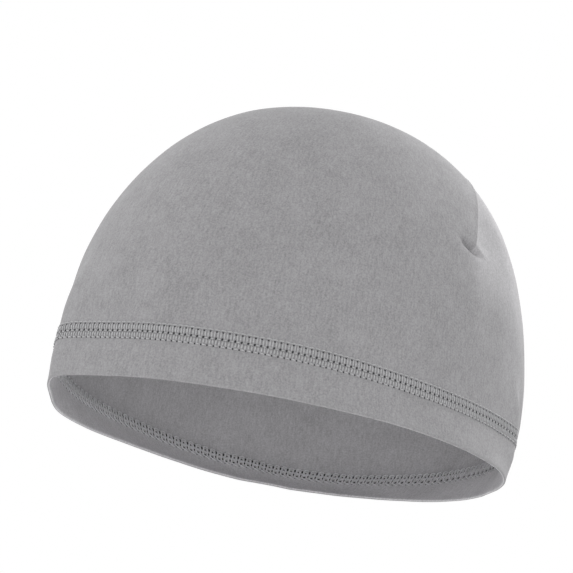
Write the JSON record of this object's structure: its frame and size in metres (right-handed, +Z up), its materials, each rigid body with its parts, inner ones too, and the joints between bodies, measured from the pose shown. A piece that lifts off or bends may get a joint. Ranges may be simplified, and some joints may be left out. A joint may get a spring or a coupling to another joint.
{
  "type": "helmet liner cap",
  "caption": "Close-fitting skull cap of thin grey stretch jersey, worn under a helmet, with a rounded crown and a folded hem sewn on with a flat covering stitch.",
  "frame": {"origin": "the highest point inside the crown, where the top of the head sits", "axes": "+Z up through the crown, -Y to the front of the head, +X to the wearer's left"},
  "size_m": [0.1863, 0.2044, 0.1466],
  "materials": {
    "jersey": "smooth matt stretch jersey with a soft sheen, mid grey",
    "thread": "soft textured sewing thread, a little lighter than the jersey"
  },
  "bodies": {
    "root": {"crown": "jersey", "hem_band": "jersey"}
  },
  "joints": []
}
